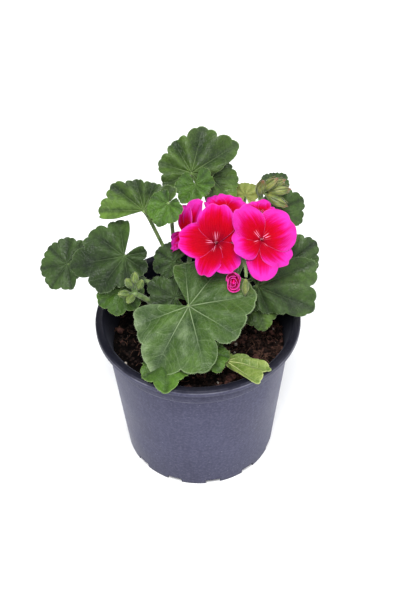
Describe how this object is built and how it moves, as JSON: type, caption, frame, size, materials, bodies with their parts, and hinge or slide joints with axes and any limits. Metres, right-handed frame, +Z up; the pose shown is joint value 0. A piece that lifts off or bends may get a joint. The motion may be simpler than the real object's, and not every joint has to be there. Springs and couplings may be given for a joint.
{
  "type": "potted pelargonium",
  "caption": "Flowering zonal pelargonium with scalloped leaves and a bright pink flower head, standing in a plain tapered nursery pot.",
  "frame": {"origin": "middle of the pot's underside, on the surface it stands on", "axes": "+Z up along the pot's axis, -Y towards the side the picture was taken from"},
  "size_m": [0.161, 0.142, 0.1909],
  "materials": {
    "pot": "grey-blue moulded plastic, satin, lightly dusty",
    "soil": "moist dark peat with brown fibres",
    "stem": "green, softly hairy",
    "leaf": "mid green, softly hairy, with pale veins",
    "leaf_faded": "pale yellow-green",
    "petal": "magenta pink with a red centre, velvety",
    "bud": "yellow-green with reddish tips"
  },
  "bodies": {
    "root": {"pot": "pot", "soil": "soil", "stem": "stem", "leaf_front": "leaf", "leaf_front_low": "leaf", "leaf_front_small": "leaf", "leaf_yellow": "leaf_faded", "leaf_right_low": "leaf", "leaf_right_under": "leaf", "leaf_right_mid": "leaf", "leaf_right_up": "leaf", "leaf_right_back": "leaf_faded", "leaf_top": "leaf", "leaf_top_right": "leaf", "leaf_mid_back": "leaf", "leaf_left_up": "leaf", "leaf_left_inner": "leaf", "leaf_left_big": "leaf", "leaf_left_far": "leaf", "leaf_left_low": "leaf", "leaf_inner_left": "leaf", "leaf_inner_low": "leaf", "leaf_rear": "leaf", "leaf_rear_right": "leaf", "leaf_bract": "leaf_faded", "umbel_stalk": "stem", "floret_left": "petal", "floret_right": "petal", "floret_side": "petal", "floret_top_left": "petal", "floret_top_right": "petal", "opening_bud": "petal", "hanging_bud": "bud", "buds_right": "bud", "buds_left": "bud"}
  },
  "joints": []
}
